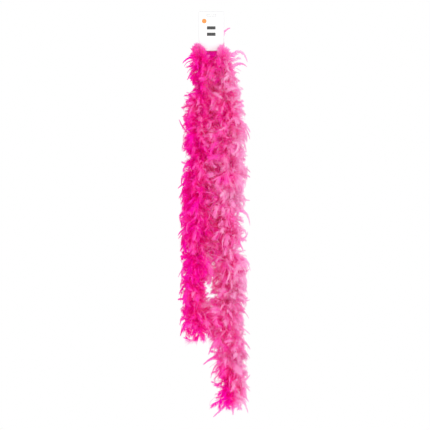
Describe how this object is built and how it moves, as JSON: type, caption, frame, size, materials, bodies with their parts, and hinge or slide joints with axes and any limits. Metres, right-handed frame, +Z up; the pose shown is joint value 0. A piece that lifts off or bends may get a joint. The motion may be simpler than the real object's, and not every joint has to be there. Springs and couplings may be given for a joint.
{
  "type": "feather boa",
  "caption": "Feather boa folded over nylon loops on a hanging header card, with a twisted core cord, bound feather sections and knotted ends.",
  "frame": {"origin": "centre of the hang slot in the header card, where a shop peg holds the product", "axes": "+Z up towards the card's top edge, +X to the right of a person facing the card, -Y towards that person"},
  "size_m": [0.1748, 0.09, 1.09],
  "materials": {
    "feathers": "dyed soft feathers",
    "cord": "dyed twisted cotton",
    "nylon": "clear nylon",
    "card": "coated white board"
  },
  "bodies": {
    "card": {"header_card": "card"},
    "fold": {"nylon_loop_left": "nylon", "nylon_loop_right": "nylon", "core_cord_fold": "cord", "fold_feathers": "feathers", "left_shoulder_feathers": "feathers", "right_shoulder_feathers": "feathers"},
    "left_upper": {"core_cord_left_upper": "cord", "left_feathers_01": "feathers", "left_feathers_02": "feathers", "left_feathers_03": "feathers", "left_feathers_04": "feathers", "left_feathers_05": "feathers"},
    "left_lower": {"core_cord_left_lower": "cord", "left_feathers_06": "feathers", "left_feathers_07": "feathers", "left_feathers_08": "feathers", "left_feathers_09": "feathers", "left_feathers_10": "feathers", "end_knot_left": "cord"},
    "right_upper": {"core_cord_right_upper": "cord", "right_feathers_01": "feathers", "right_feathers_02": "feathers", "right_feathers_03": "feathers", "right_feathers_04": "feathers", "right_feathers_05": "feathers"},
    "right_middle": {"core_cord_right_middle": "cord", "right_feathers_06": "feathers", "right_feathers_07": "feathers", "right_feathers_08": "feathers", "right_feathers_09": "feathers", "right_feathers_10": "feathers", "right_feathers_11": "feathers"},
    "right_tail": {"core_cord_right_tail": "cord", "right_feathers_12": "feathers", "right_feathers_13": "feathers", "end_knot_right": "cord"}
  },
  "joints": [
    {"name": "boa_swing", "type": "hinge", "parent": "card", "child": "fold", "pos_m": [0, 0, -0.0945], "axis": [1, 0, 0], "range_deg": [-45, 45]},
    {"name": "left_strand_swing", "type": "hinge", "parent": "fold", "child": "left_upper", "pos_m": [-0.033, 0, -0.162], "axis": [0, 1, 0], "range_deg": [0, 50]},
    {"name": "left_strand_bend", "type": "hinge", "parent": "left_upper", "child": "left_lower", "pos_m": [-0.043, 0, -0.492], "axis": [1, 0, 0], "range_deg": [-45, 45]},
    {"name": "right_strand_swing", "type": "hinge", "parent": "fold", "child": "right_upper", "pos_m": [0.039, 0, -0.162], "axis": [0, -1, 0], "range_deg": [0, 50]},
    {"name": "right_strand_bend", "type": "hinge", "parent": "right_upper", "child": "right_middle", "pos_m": [0.052, 0, -0.492], "axis": [1, 0, 0], "range_deg": [-45, 45]},
    {"name": "right_tail_bend", "type": "hinge", "parent": "right_middle", "child": "right_tail", "pos_m": [0.053, -0.0005, -0.932], "axis": [0, 1, 0], "range_deg": [-40, 40]}
  ]
}
